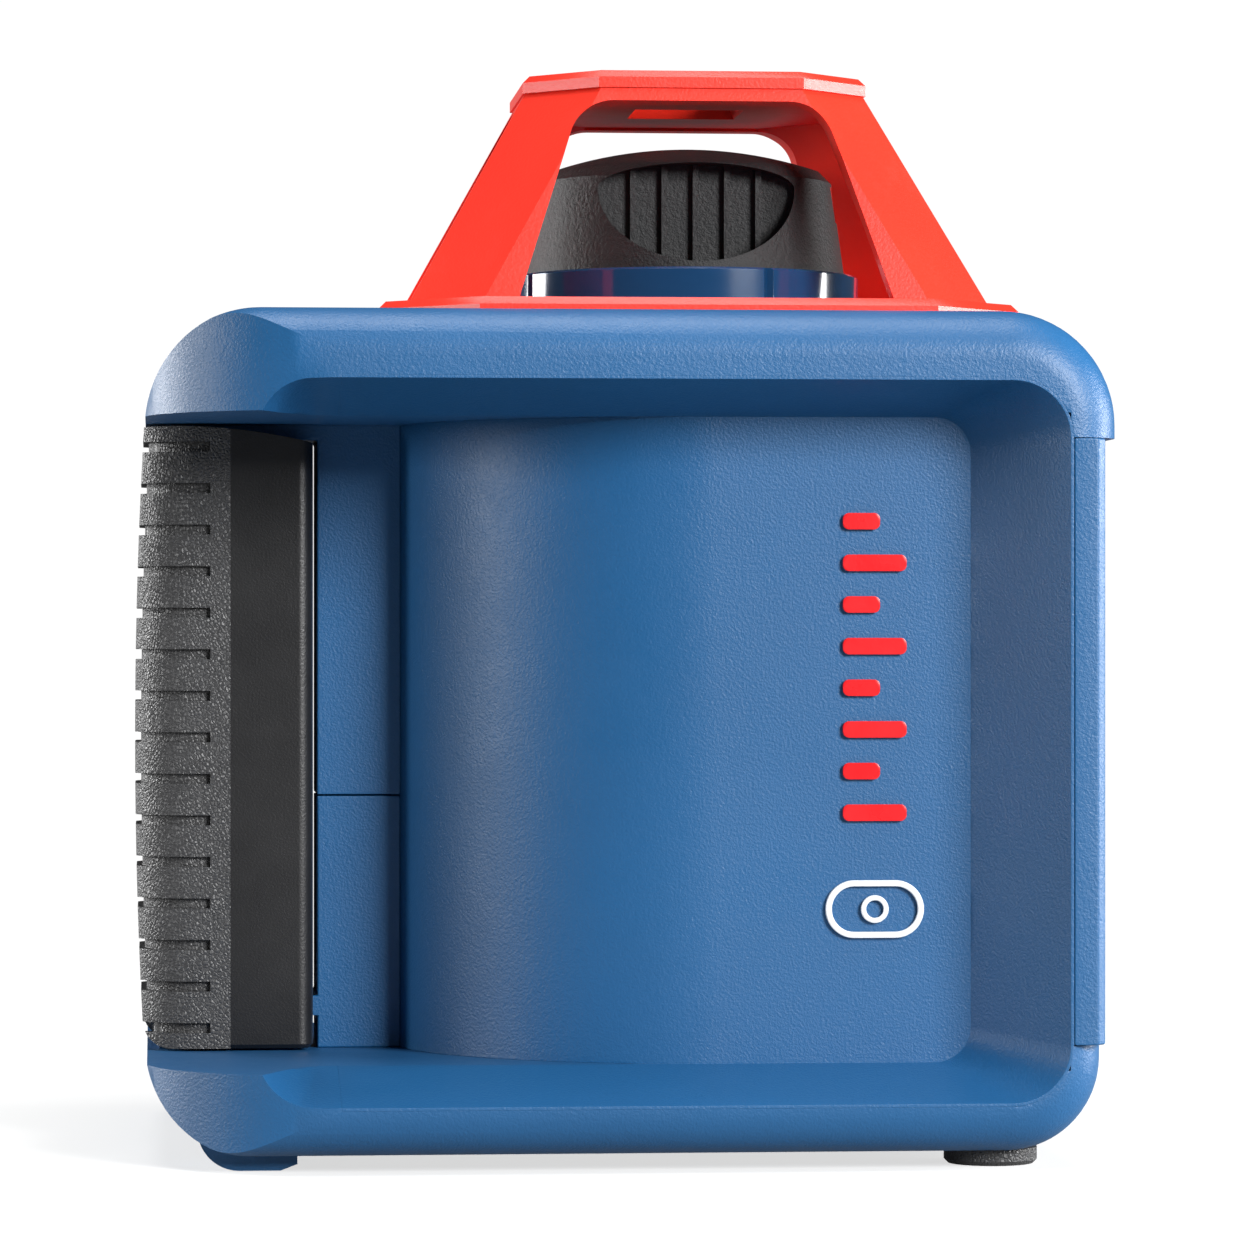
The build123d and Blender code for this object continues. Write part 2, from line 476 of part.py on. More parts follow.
# Raised marks on the near panel: a graduated scale, and a bubble vial in outline.
MARK_T = 1.0
SCALE_X, SCALE_Z0, SCALE_Z1 = 31.0, WAIST_LOW_Z + 48.5, WAIST_LOW_Z + 105.0
VIAL_MARK_Z = WAIST_LOW_Z + 29.8
SCALE_BARS = 8
panel_y = -CORE_R
scale = []
bar_pitch = (SCALE_Z1 - SCALE_Z0) / (SCALE_BARS - 1)
for number in range(SCALE_BARS):
    half = 6.2 if number % 2 == 0 else 3.6
    bar = block(SCALE_X - 6.2, SCALE_X - 6.2 + 2 * half, panel_y - MARK_T, panel_y, -1.6, 1.6)
    bar = fillet(bar.edges().filter_by(Axis.Y), 1.2)
    scale.append(Pos(0, 0, SCALE_Z0 + number * bar_pitch) * bar)
save("scale_badge", *scale)


def capsule(half_length, r, depth):
    """A round-ended bar standing out of the near panel."""
    slot = Plane.XZ.offset(CORE_R) * Pos(SCALE_X, VIAL_MARK_Z) * SlotOverall(2 * half_length, 2 * r)
    return extrude(slot, depth)


bubble = rod_y(2.7, panel_y - MARK_T, panel_y, SCALE_X, VIAL_MARK_Z)
bubble = bubble - rod_y(1.7, panel_y - 2 * MARK_T, panel_y, SCALE_X, VIAL_MARK_Z)
vial = capsule(9.6, 5.6, MARK_T) - capsule(8.4, 4.4, 2 * MARK_T) + bubble
save("vial_badge", vial)

# ---- Levelling mechanism: chassis, gimbal ring, laser unit ----
ANNULUS_Z = PIVOT_Z - 12.0
ANNULUS_T = 3.0
ANNULUS_IN_R, ANNULUS_OUT_R = 34.5, 46.5
POST_IN = RING_OUT_R + 1.4
POST_T = 3.6
annulus_top = ANNULUS_Z + ANNULUS_T
gimbal_frame = rod(ANNULUS_OUT_R, ANNULUS_Z, annulus_top) - rod(ANNULUS_IN_R, 0, big)
for sense in (-1, 1):
    x0, x1 = sorted((sense * POST_IN, sense * (ANNULUS_IN_R + 2)))
    gimbal_frame = gimbal_frame + block(x0, x1, -4, 4, ANNULUS_Z, annulus_top)
    x0, x1 = sorted((sense * POST_IN, sense * (POST_IN + POST_T)))
    gimbal_frame = gimbal_frame + block(x0, x1, -4, 4, ANNULUS_Z, PIVOT_Z + 4)
gimbal_frame = gimbal_frame - rod_x(PIVOT_PIN_R + RUN_FIT, -big, big, 0, PIVOT_Z)
for number in range(4):
    turn = Rot(0, 0, 45 + 90 * number)
    gimbal_frame = gimbal_frame + turn * rod(4, ANNULUS_Z, boss_top_z, 42)

# Two tilt drives hang under the chassis, one on -Y for pitch and one on +X for roll: a geared
# motor, a screw that it turns, and a nut with a ball that sits in the fork of its tilt arm.
LEG_T = 2.5
LEG_X = SCREW_REACH + 7.5
BRACKET_Z = ARM_Z - 16.0
GEARBOX_R = 6.5
GEARBOX_LOW_Z = BRACKET_Z - 26.0
NUT_HALF = 4.0
arm_top = BALL_R + BALL_GAP
FORK_T = 1.6
ARM_SHIFT = 2.4            # room for the arm's own swing towards the screw
FORK_END = SCREW_REACH - NUT_HALF - ARM_SHIFT - 0.4
PITCH_TURN, ROLL_TURN = Rot(0, 0, -90), Rot(0, 0, 0)
nut = block(SCREW_REACH - NUT_HALF, SCREW_REACH + NUT_HALF, -NUT_HALF, NUT_HALF, ARM_Z - 4, ARM_Z + 4)
nut = nut + rod_x(1.4, ARM_REACH, SCREW_REACH - NUT_HALF, 0, ARM_Z)
nut = nut + Pos(ARM_REACH, 0, ARM_Z) * Sphere(BALL_R)
nut = nut - rod(SCREW_R + RUN_FIT, 0, big, SCREW_REACH)
screw = rod(SCREW_R, BRACKET_Z - 3, annulus_top, SCREW_REACH)
screw = screw + rod(3, BRACKET_Z + 2.3, BRACKET_Z + 4, SCREW_REACH)
gearbox = rod(GEARBOX_R, GEARBOX_LOW_Z, BRACKET_Z, SCREW_REACH)
gearbox = gearbox - rod(SCREW_R + RUN_FIT, BRACKET_Z - 4, big, SCREW_REACH)
gearbox = gearbox + rod(3.5, GEARBOX_LOW_Z - 3, GEARBOX_LOW_Z, SCREW_REACH)
drive_turns = (("pitch", PITCH_TURN), ("roll", ROLL_TURN))
for name, turn in drive_turns:
    save(name + "_nut", turn * nut)
    save(name + "_screw", turn * screw)
    leg = block(LEG_X, LEG_X + LEG_T, -6, 6, BRACKET_Z, annulus_top)
    leg = leg + block(SCREW_REACH - 6, LEG_X + 1, -6, 6, BRACKET_Z, BRACKET_Z + 2)
    gimbal_frame = gimbal_frame + turn * leg - turn * rod(SCREW_R + RUN_FIT, 0, big, SCREW_REACH)
save("tilt_motors", *[turn * gearbox for name, turn in drive_turns])
save("gimbal_frame", gimbal_frame)


def fork(start):
    """A tilt arm along +X from start to its forked end, which takes the ball."""
    low, high = ARM_Z - arm_top - FORK_T, ARM_Z + arm_top + FORK_T
    arm = block(start, ARM_REACH - BALL_R - ARM_SHIFT, -4, 4, low, high)
    for sense in (-1, 1):
        z0, z1 = sorted((ARM_Z + sense * arm_top, ARM_Z + sense * (arm_top + FORK_T)))
        arm = arm + block(start, FORK_END, -5.5, 5.5, z0, z1)
    return arm


# Gimbal ring, with the pitch arm hanging from its -Y side, and its two pins into the chassis.
hanger_x0, hanger_x1 = RING_OUT_R - 0.7, RING_OUT_R + 2.5
gimbal_ring = rod(RING_OUT_R, PIVOT_Z - 2.5, PIVOT_Z + 2.5)
gimbal_ring = gimbal_ring + PITCH_TURN * block(hanger_x0, hanger_x1, -4, 4, ARM_Z - arm_top, PIVOT_Z + 2.5)
gimbal_ring = gimbal_ring - rod(RING_IN_R, 0, big) + PITCH_TURN * fork(hanger_x0 + 0.4)
gimbal_ring = gimbal_ring - rod_y(PIVOT_PIN_R + RUN_FIT, -RING_OUT_R - 3, big, 0, PIVOT_Z)
gimbal_ring = gimbal_ring - rod_x(PIVOT_PIN_R, -big, big, 0, PIVOT_Z)
save("gimbal_ring", gimbal_ring)
pin_end = POST_IN + POST_T
save("pitch_pins", rod_x(PIVOT_PIN_R, -pin_end, -RING_IN_R, 0, PIVOT_Z),
     rod_x(PIVOT_PIN_R, RING_IN_R, pin_end, 0, PIVOT_Z))

# Laser unit: an upright tube through the ring, its neck carrying the rotor's two bearings.
NECK_Z = PIVOT_Z + 3.5
BEARING_LOW_Z = NECK_Z + 1.6
BEARING_GAP = 2.0
bearing_levels = (BEARING_LOW_Z, BEARING_LOW_Z + BEARING_T + BEARING_GAP)
neck_top_z = bearing_levels[1] + BEARING_T + 1.4
TUBE_LOW_Z = PIVOT_Z - 91.0
BORE_R = 4.0
laser_tube = rod(TUBE_R, TUBE_LOW_Z, NECK_Z) + rod(NECK_R, NECK_Z, neck_top_z)
laser_tube = laser_tube + rod(NECK_R + 1.2, NECK_Z, BEARING_LOW_Z) + fork(TUBE_R - 1)
laser_tube = laser_tube - rod(BORE_R, 0, big) - rod(8, TUBE_LOW_Z - 1, TUBE_LOW_Z + 24)
laser_tube = laser_tube - rod_y(PIVOT_PIN_R, -big, big, 0, PIVOT_Z)
laser_tube = laser_tube - (rod(NECK_R + 1, neck_top_z - 1.1, neck_top_z - 0.5) - rod(NECK_R - 0.6, 0, big))
save("laser_tube", laser_tube)
save("roll_pins", rod_y(PIVOT_PIN_R, -RING_OUT_R, -BORE_R - 1, 0, PIVOT_Z),
     rod_y(PIVOT_PIN_R, BORE_R + 1, RING_OUT_R, 0, PIVOT_Z))
diode = rod(8, TUBE_LOW_Z, TUBE_LOW_Z + 6) + rod(2.8, TUBE_LOW_Z + 6, TUBE_LOW_Z + 9)
save("laser_diode", diode + block(-6, 6, -5, 5, TUBE_LOW_Z - 4, TUBE_LOW_Z))
lens_z = TUBE_LOW_Z + 20
lens = rod(8, lens_z, lens_z + 4) & Pos(0, 0, lens_z - 12) * Sphere(15.6)
save("collimator_lens", lens)
save("hub_circlip", (rod(NECK_R + 1.0, neck_top_z - 1.1, neck_top_z - 0.5)
                     - rod(NECK_R - 0.6, 0, big) - block(0, big, -1.5, 1.5, 0, big)))
bearings = [rod(BEARING_R, z, z + BEARING_T) - rod(NECK_R, 0, big) for z in bearing_levels]
save("head_bearings", *bearings)

# Vial holder: a clamp on the tube with two crossed level vials.
VIAL_Z = PIVOT_Z - 51.0
VIAL_R = 3.2
holder = block(-15, 15, -15, 15, VIAL_Z - 5, VIAL_Z + 5) - rod(TUBE_R, 0, big)
holder = holder - rod_x(VIAL_R, -13, 13, -15, VIAL_Z + 4) - rod_y(VIAL_R, -13, 13, -15, VIAL_Z + 4)
holder = holder - block(-19, -11, -19, -11, 0, big)
save("vial_holder", holder)
vials = [rod_x(VIAL_R, -10.5, 13, -15, VIAL_Z + 4), rod_y(VIAL_R, -10.5, 13, -15, VIAL_Z + 4)]
save("level_vials", *vials)

# Rotor drive: belt from a small motor that hangs on the laser unit, beside the tube.
BELT_T = 1.2
BELT_H = 2.6
BELT_GAP = 0.3
pulley_z0 = BEARING_LOW_Z - 0.4
pulley_z1 = pulley_z0 + BELT_H + 0.4
motor_x = MOTOR_REACH * cos(radians(MOTOR_ANGLE))
motor_y = MOTOR_REACH * sin(radians(MOTOR_ANGLE))
MOTOR_TOP_Z = PIVOT_Z - 16.0
MOTOR_LENGTH = 20.0
MOUNT_T = 2.0
motor_turn = Rot(0, 0, MOTOR_ANGLE)
motor_mount = motor_turn * block(0, MOTOR_REACH, -7, 7, MOTOR_TOP_Z, MOTOR_TOP_Z + MOUNT_T)
motor_mount = motor_mount + rod(MOTOR_R, MOTOR_TOP_Z, MOTOR_TOP_Z + MOUNT_T, motor_x, motor_y)
motor_mount = motor_mount + rod(TUBE_R + 3, MOTOR_TOP_Z, MOTOR_TOP_Z + 6) - rod(TUBE_R, 0, big)
motor_mount = motor_mount - rod(3.2, 0, big, motor_x, motor_y)
save("motor_mount", motor_mount)
motor = rod(MOTOR_R, MOTOR_TOP_Z - MOTOR_LENGTH, MOTOR_TOP_Z, motor_x, motor_y)
motor = fillet(motor.edges(), 1.0) + rod(3.0, MOTOR_TOP_Z, MOTOR_TOP_Z + 4, motor_x, motor_y)
motor = motor - rod(1.0 + RUN_FIT, MOTOR_TOP_Z - 6, big, motor_x, motor_y)
save("drive_motor", motor)
shaft = rod(1.0, MOTOR_TOP_Z - 5, pulley_z1 + 1.0, motor_x, motor_y)
pulley = rod(PULLEY_R, pulley_z0 - 0.8, pulley_z1 + 0.8, motor_x, motor_y)
for z in (pulley_z0 - 0.8, pulley_z1):
    pulley = pulley + rod(PULLEY_R + BELT_T + 0.6, z, z + 0.8, motor_x, motor_y)
save("motor_pulley", shaft + pulley)

# Hub: turns on the two bearings; its belt groove lies between two low rims.
hub_top_z = neck_top_z + 0.6
hub = rod(HUB_R, pulley_z0 - 0.6, hub_top_z) + rod(HUB_R + BELT_T + 0.4, pulley_z1, pulley_z1 + 1.0)
hub = hub - rod(BEARING_R + RUN_FIT, 0, big)
save("rotor_hub", hub)


def belt_loop(out, z0, z1):
    """The belt's outline round hub and pulley: two straight runs that touch both circles."""
    r_hub, r_pulley = HUB_R + out, PULLEY_R + out
    lean = (r_hub - r_pulley) / MOTOR_REACH
    side = (1 - lean ** 2) ** 0.5
    near_x, end_x = r_hub * lean, MOTOR_REACH + r_pulley * lean
    runs = make_face(Polyline((near_x, r_hub * side), (end_x, r_pulley * side),
                              (end_x, -r_pulley * side), (near_x, -r_hub * side), close=True))
    loop = runs + Circle(r_hub) + Pos(MOTOR_REACH, 0) * Circle(r_pulley)
    return motor_turn * extrude(Pos(0, 0, z0) * loop, z1 - z0)


belt_z0 = (pulley_z0 + pulley_z1 - BELT_H) / 2
save("drive_belt", belt_loop(BELT_GAP + BELT_T, belt_z0, belt_z0 + BELT_H) - belt_loop(BELT_GAP, 0, big))

# Rotor cap: a skirted dome with two finger scoops and a window for the beam, on a web over the hub.
shoulder = 2.4
web_z = hub_top_z
WEB_T = 2.0
WEB_HOLE_R = 9.5
dome_low_z = ROTOR_SHOULDER_Z + shoulder


def rotor_form(inset, z_low):
    """The rotor's outline turned about its axis, or the hollow inside it."""
    r0, r1 = ROTOR_FOOT_R - inset, ROTOR_SHOULDER_R - inset
    r2, edge, top = r1 - shoulder, dome_low_z - inset, ROTOR_TOP_Z - inset
    dome_r = (r2 ** 2 + (top - edge) ** 2) / (2 * (top - edge))
    half_turn = asin(r2 / dome_r) / 2
    outline = Plane.XZ * make_face([
        Line((0, z_low), (r0, z_low)), Line((r0, z_low), (r1, ROTOR_SHOULDER_Z - inset)),
        Line((r1, ROTOR_SHOULDER_Z - inset), (r2, edge)),
        ThreePointArc((r2, edge), (dome_r * sin(half_turn), top - dome_r * (1 - cos(half_turn))), (0, top)),
        Line((0, top), (0, z_low))])
    return revolve(outline, Axis.Z)


scoop_outline = Pos(0, SCOOP_CENTRE_Z) * (
    (Ellipse(SCOOP_HALF, SCOOP_DOWN) & Pos(0, -big / 2) * Rectangle(big, big)) +
    (Ellipse(SCOOP_HALF, SCOOP_UP) & Pos(0, big / 2) * Rectangle(big, big)))
scoop = extrude(Plane.XZ.offset(SCOOP_Y) * scoop_outline, 3 * SCOOP_Y)
inner_y = SCOOP_Y - ROTOR_WALL
rotor_hollow = rotor_form(ROTOR_WALL, ROTOR_FOOT_Z - 1)
rotor_hollow = rotor_hollow & block(-big, big, -inner_y, inner_y, 0, big)
skirt_hollow = rotor_form(ROTOR_WALL, ROTOR_FOOT_Z - 1) & block(-big, big, -big, big, 0, ROTOR_FOOT_Z + 1.4)
rotor_shell = rotor_form(0, ROTOR_FOOT_Z) - rotor_hollow - skirt_hollow
RIB_COUNT, RIB_PITCH, RIB_W, RIB_OUT = 5, 6.3, 1.2, 1.6
for wall_side in (scoop, far(scoop)):
    rotor_shell = rotor_shell - wall_side
for number in range(RIB_COUNT):
    x = (number - (RIB_COUNT - 1) / 2) * RIB_PITCH
    rib = block(x - RIB_W / 2, x + RIB_W / 2, -SCOOP_Y - RIB_OUT, 0.5 - SCOOP_Y, 0, big) & scoop
    rotor_shell = rotor_shell + rib + far(rib)
WINDOW_Z0, WINDOW_Z1, WINDOW_Y = ROTOR_SHOULDER_Z - 8.0, ROTOR_SHOULDER_Z - 0.8, 8.0
window_zone = block(ROTOR_SHOULDER_R - 8, big, -WINDOW_Y, WINDOW_Y, WINDOW_Z0, WINDOW_Z1)
web = rod(ROTOR_SHOULDER_R, web_z, web_z + WEB_T) & block(-big, big, -inner_y - 0.5, inner_y + 0.5, 0, big)
laser_window = rotor_shell & window_zone
rotor_cap = rotor_shell + (web - rod(WEB_HOLE_R, 0, big)) - window_zone
save("rotor_cap", rotor_cap)
save("laser_window", laser_window)

# Pentaprism over the bore, in a holder that is seated on the web.
prism_z = web_z + WEB_T + 1.0
PRISM = 8.0
prism = Plane.XZ * make_face(Polyline(
    (-PRISM / 2, prism_z), (PRISM / 2, prism_z), (PRISM / 2, prism_z + PRISM),
    (-PRISM * 0.72, prism_z + PRISM * 1.09), (-PRISM * 0.62, prism_z + PRISM * 0.22), close=True))
save("pentaprism", extrude(prism, PRISM / 2, both=True))
base = rod(WEB_HOLE_R + 3, web_z + WEB_T, prism_z) - rod(BORE_R, 0, big)
cheek = block(-6, PRISM / 2, PRISM / 2, PRISM / 2 + 1.5, web_z + WEB_T, prism_z + PRISM)
save("prism_holder", base + cheek + far(cheek))

# ---- Keypad on the far panel, boards and their supports ----
BEZEL_T = 2.2
BEZEL_HALF_X = 13.0
FIT_GAP = 0.35
flange_y0, flange_y1 = CORE_R - WALL + 0.3, CORE_R - 0.3
bezel_z0, bezel_z1 = KEYPAD_Z[0] - 13.0, KEYPAD_Z[-1] + 24.0
bezel = block(KEYPAD_X - BEZEL_HALF_X, KEYPAD_X + BEZEL_HALF_X, CORE_R, CORE_R + BEZEL_T, bezel_z0, bezel_z1)
bezel = fillet(bezel.edges().filter_by(Axis.Y), 5)
bezel = chamfer(bezel.faces().sort_by(Axis.Y)[-1].edges(), 0.6)
side_shell_far = far(side_shell_near)
board_y = CORE_R - WALL - 9.5
keypad_board = block(KEYPAD_X - 11, KEYPAD_X + 11, board_y - 1.6, board_y, bezel_z0 + 3, bezel_z1 - 3)
stem_end_y = board_y + 5.4 + BUTTON_TRAVEL + 0.1
for name, z in zip(("power", "speed", "slope", "manual"), KEYPAD_Z):
    bezel = bezel - rod_y(BUTTON_R + FIT_GAP, 0, big, KEYPAD_X, z)
    side_shell_far = side_shell_far - rod_y(BUTTON_R + 1.4 + FIT_GAP, 0, big, KEYPAD_X, z)
    button = rod_y(BUTTON_R, flange_y1 - 0.5, CORE_R + BEZEL_T + 1.6, KEYPAD_X, z)
    button = fillet(button.edges().sort_by(Axis.Y)[-1], 0.8)
    button = button + rod_y(BUTTON_R + 1.4, flange_y0, flange_y1, KEYPAD_X, z)
    save("button_" + name, button + rod_y(1.5, stem_end_y, flange_y0 + 0.5, KEYPAD_X, z))
    switch = block(KEYPAD_X - 3, KEYPAD_X + 3, board_y, board_y + 3.6, z - 3, z + 3)
    keypad_board = keypad_board + switch + rod_y(1.6, board_y + 3.6, board_y + 5.4, KEYPAD_X, z)
LENS_R = 1.8
lenses = []
for x in (KEYPAD_X - 6, KEYPAD_X, KEYPAD_X + 6):
    z = KEYPAD_Z[-1] + 15
    bezel = bezel - rod_y(LENS_R, 0, big, x, z)
    side_shell_far = side_shell_far - rod_y(LENS_R, 0, big, x, z)
    lens = rod_y(LENS_R, CORE_R - WALL - 1, CORE_R + BEZEL_T + 0.4, x, z)
    lenses.append(fillet(lens.edges().sort_by(Axis.Y)[-1], 0.35))
pillars = []
for x in (KEYPAD_X - 9, KEYPAD_X + 9):
    for z in (bezel_z0 + 5, bezel_z1 - 5):
        pillars.append(rod_y(1.6, board_y, CORE_R - WALL, x, z))
save("keypad_pillars", *pillars)
save("keypad_board", keypad_board)
save("keypad_bezel", bezel)
save("status_lenses", *lenses)

BOARD_Z = WAIST_LOW_Z + 5.0
BOARD_T = 1.6
board_half = CORE_R - 24
board_top = BOARD_Z + BOARD_T
board = block(-board_half - 2, lip_front_x - 15.5, -board_half, board_half, BOARD_Z, board_top)
board = board + block(-30, -16, -20, 20, board_top, board_top + 6.4)
board = board + block(14, 32, -9, 9, board_top, board_top + 2.4)
standoffs = []
for x in (-30, 42):
    for y in (8 - board_half, board_half - 8):
        board = board - rod(1.6, 0, big, x, y)
        standoffs.append(rod(3, SOLE_Z + WALL, BOARD_Z, x, y) + rod(1.5, BOARD_Z, BOARD_Z + 2.4, x, y))
save("main_board", board)
save("board_standoffs", *standoffs)

save("top_cap", top_cap)
save("bottom_cap", bottom_cap)
save("side_shell_near", side_shell_near)
save("side_shell_far", side_shell_far)
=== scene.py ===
import math

import bmesh
import bpy
from mathutils import Matrix, Vector


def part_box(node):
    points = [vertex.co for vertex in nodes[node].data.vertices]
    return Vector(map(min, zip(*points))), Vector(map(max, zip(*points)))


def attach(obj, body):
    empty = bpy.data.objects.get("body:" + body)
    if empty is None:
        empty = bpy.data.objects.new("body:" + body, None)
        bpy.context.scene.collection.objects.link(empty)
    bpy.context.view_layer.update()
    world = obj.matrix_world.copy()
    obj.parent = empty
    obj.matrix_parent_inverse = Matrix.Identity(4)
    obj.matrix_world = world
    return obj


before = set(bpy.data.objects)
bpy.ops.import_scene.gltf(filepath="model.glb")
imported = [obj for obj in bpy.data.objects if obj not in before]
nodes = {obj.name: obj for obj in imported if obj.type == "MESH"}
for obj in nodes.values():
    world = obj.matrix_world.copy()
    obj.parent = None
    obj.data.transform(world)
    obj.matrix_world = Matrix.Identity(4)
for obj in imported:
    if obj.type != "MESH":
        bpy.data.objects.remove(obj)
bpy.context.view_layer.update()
scene = bpy.context.scene

# The view: level with the middle of the case, square on to its side panel and a few degrees round
# towards the grip, from just over a metre away.
EYE_DISTANCE = 1.1
EYE_HEIGHT = 0.100
EYE_TURN = math.radians(-5.0)
AIM_X = -0.0123
LENS = 155.0
SENSOR = 36.0
SHIFT_Y = 0.016
camera_data = bpy.data.cameras.new("view_camera")
camera = bpy.data.objects.new("view_camera", camera_data)
scene.collection.objects.link(camera)
scene.camera = camera
camera_data.lens = LENS
camera_data.sensor_width = SENSOR
camera_data.shift_y = SHIFT_Y
camera.location = (AIM_X + EYE_DISTANCE * math.sin(EYE_TURN), -EYE_DISTANCE * math.cos(EYE_TURN),
                   EYE_HEIGHT)
camera.rotation_euler = (math.radians(90.0), 0.0, EYE_TURN)

# The housing: two end caps, two side shells, an end plate and the battery column, all injection
# moulded in mid-blue ABS from spark-eroded tools, so every face has the same fine sandy grain.
BLUE_DEEP = (0.007, 0.076, 0.200)
BLUE_LIGHT = (0.012, 0.104, 0.265)
HOUSING = ("top_cap", "bottom_cap", "side_shell_near", "side_shell_far", "end_plate",
           "battery_case_lower", "battery_case_upper")
MOULD_EDGE = 0.0004
WELD_GAP = 2e-6
SHARP_ANGLE = math.radians(32.0)


class Wire:
    """A shader socket that takes part in Python sums; node() adds any other shader node."""

    def __init__(self, tree, socket=None):
        self.tree = tree
        self.socket = socket

    def node(self, kind, settings=None, out=0, **values):
        """Adds a node; i0, i1 and so on are inputs by number, and the other names are inputs by name."""
        made = self.tree.nodes.new(kind)
        for name, value in (settings or {}).items():
            if name == "stops":
                ramp = made.color_ramp
                for index, (place, tone) in enumerate(value):
                    stop = ramp.elements[index] if index < 2 else ramp.elements.new(place)
                    stop.position = place
                    stop.color = (tone, tone, tone, 1.0) if isinstance(tone, float) else (*tone, 1.0)
            else:
                setattr(made, name, value)
        for name, value in values.items():
            key = int(name[1:]) if name[1:].isdigit() else name.replace("_", " ")
            if isinstance(value, Wire):
                self.tree.links.new(value.socket, made.inputs[key])
            else:
                made.inputs[key].default_value = value
        return Wire(self.tree, made.outputs[out])

    def sum(self, operation, other, flip=False):
        first, second = (other, self) if flip else (self, other)
        return self.node("ShaderNodeMath", {"operation": operation}, i0=first, i1=second)

    def __add__(self, other):
        return self.sum("ADD", other)

    def __radd__(self, other):
        return self.sum("ADD", other, True)

    def __sub__(self, other):
        return self.sum("SUBTRACT", other)

    def __rsub__(self, other):
        return self.sum("SUBTRACT", other, True)

    def __mul__(self, other):
        return self.sum("MULTIPLY", other)

    def __rmul__(self, other):
        return self.sum("MULTIPLY", other, True)

    def ramp(self, *stops):
        return self.node("ShaderNodeValToRGB", {"stops": stops}, Fac=self)

    def tint(self, low, high):
        """A colour between low and high, by this value."""
        return self.node("ShaderNodeMix", {"data_type": "RGBA"}, 2, i0=self, i6=(*low, 1.0), i7=(*high, 1.0))


def noise(place, scale, detail=3.0, rough=0.5):
    """A fine random pattern, at so many cells to the metre."""
    return place.node("ShaderNodeTexNoise", Vector=place, Scale=scale, Detail=detail, Roughness=rough)


def new_finish(name):
    """An empty material, with a wire that carries the place on the object."""
    material = bpy.data.materials.new(name)
    material.use_nodes = True
    tree = material.node_tree
    tree.nodes.clear()
    return material, Wire(tree).node("ShaderNodeTexCoord", out=3)


def finish_with(material, place, color, roughness, height=None, depth=0.0, **constants):
    """Closes a material: its shader, the bump and the plain numbers on the shader's own sockets."""
    values = dict(constants, Base_Color=color, Roughness=roughness)
    if height is not None:
        values["Normal"] = place.node("ShaderNodeBump", Height=height, Distance=depth, Strength=1.0)
    shader = place.node("ShaderNodeBsdfPrincipled", **values)
    output = place.tree.nodes.new("ShaderNodeOutputMaterial")
    place.tree.links.new(shader.socket, output.inputs["Surface"])
    return material


def dress(material, *names):
    """Gives CAD nodes a material."""
    for name in names:
        mesh = nodes[name].data
        mesh.materials.clear()
        mesh.materials.append(material)


def soften(width, *names):
    """Welds a CAD node's loose triangles, rounds its sharp edges a little as a mould does, and
    shades its curved faces smooth and its flat ones flat."""
    for name in names:
        piece = nodes[name]
        weld = piece.modifiers.new("weld", "WELD")
        weld.merge_threshold = WELD_GAP
        round_off = piece.modifiers.new("mould_edge", "BEVEL")
        round_off.width = width
        round_off.segments = 2
        round_off.limit_method = "ANGLE"
        round_off.angle_limit = SHARP_ANGLE
        piece.data.polygons.foreach_set("use_smooth", [True] * len(piece.data.polygons))
        even = piece.modifiers.new("flat_faces_flat", "WEIGHTED_NORMAL")
        even.mode = "FACE_AREA"
        even.weight = 100


blue_case, at = new_finish("blue_case")
cloud = noise(at, 28.0, 4.0)
sand = noise(at, 1900.0, 2.0, 0.6)
speck = noise(at, 900.0, 3.0, 0.65)
handled = noise(at, 60.0, 5.0, 0.7).ramp((0.48, 0.0), (0.72, 1.0))
finish_with(blue_case, at, (0.75 * cloud + 0.25 * speck).tint(BLUE_DEEP, BLUE_LIGHT),
            0.40 + 0.10 * speck - 0.06 * handled, sand + 0.4 * speck, 0.00011)
dress(blue_case, *HOUSING)
soften(MOULD_EDGE, *HOUSING)

# The protective cage: one stiff moulding in signal red, screwed down through the deck from below.
# It is satin, with a faint grain, and a little duller where it has been rubbed.
CAGE_RED = (0.74, 0.018, 0.008)
CAGE_RED_WARM = (0.84, 0.032, 0.012)
cage_red, at = new_finish("cage_red")
cloud = noise(at, 24.0, 4.0)
sand = noise(at, 1500.0, 2.0, 0.6)
rub = noise(at, 95.0, 6.0, 0.75).ramp((0.55, 0.0), (0.80, 1.0))
finish_with(cage_red, at, cloud.tint(CAGE_RED, CAGE_RED_WARM), 0.34 + 0.10 * sand + 0.10 * rub,
            sand, 0.00006)
dress(cage_red, "head_cage")
soften(0.0006, "head_cage")

# The turret ring: a shiny collar of polished navy ABS that the rotor's skirt dips into. It stands in
# the bore of the cage's flange on a thin gasket.
navy_gloss, at = new_finish("navy_gloss")
haze = noise(at, 40.0, 5.0, 0.7)
finish_with(navy_gloss, at, haze.tint((0.004, 0.030, 0.085), (0.007, 0.048, 0.130)),
            0.07 + 0.12 * haze, noise(at, 300.0), 0.00001, Coat_Weight=0.5, Coat_Roughness=0.05)
dress(navy_gloss, "turret_ring")
soften(0.0003, "turret_ring")

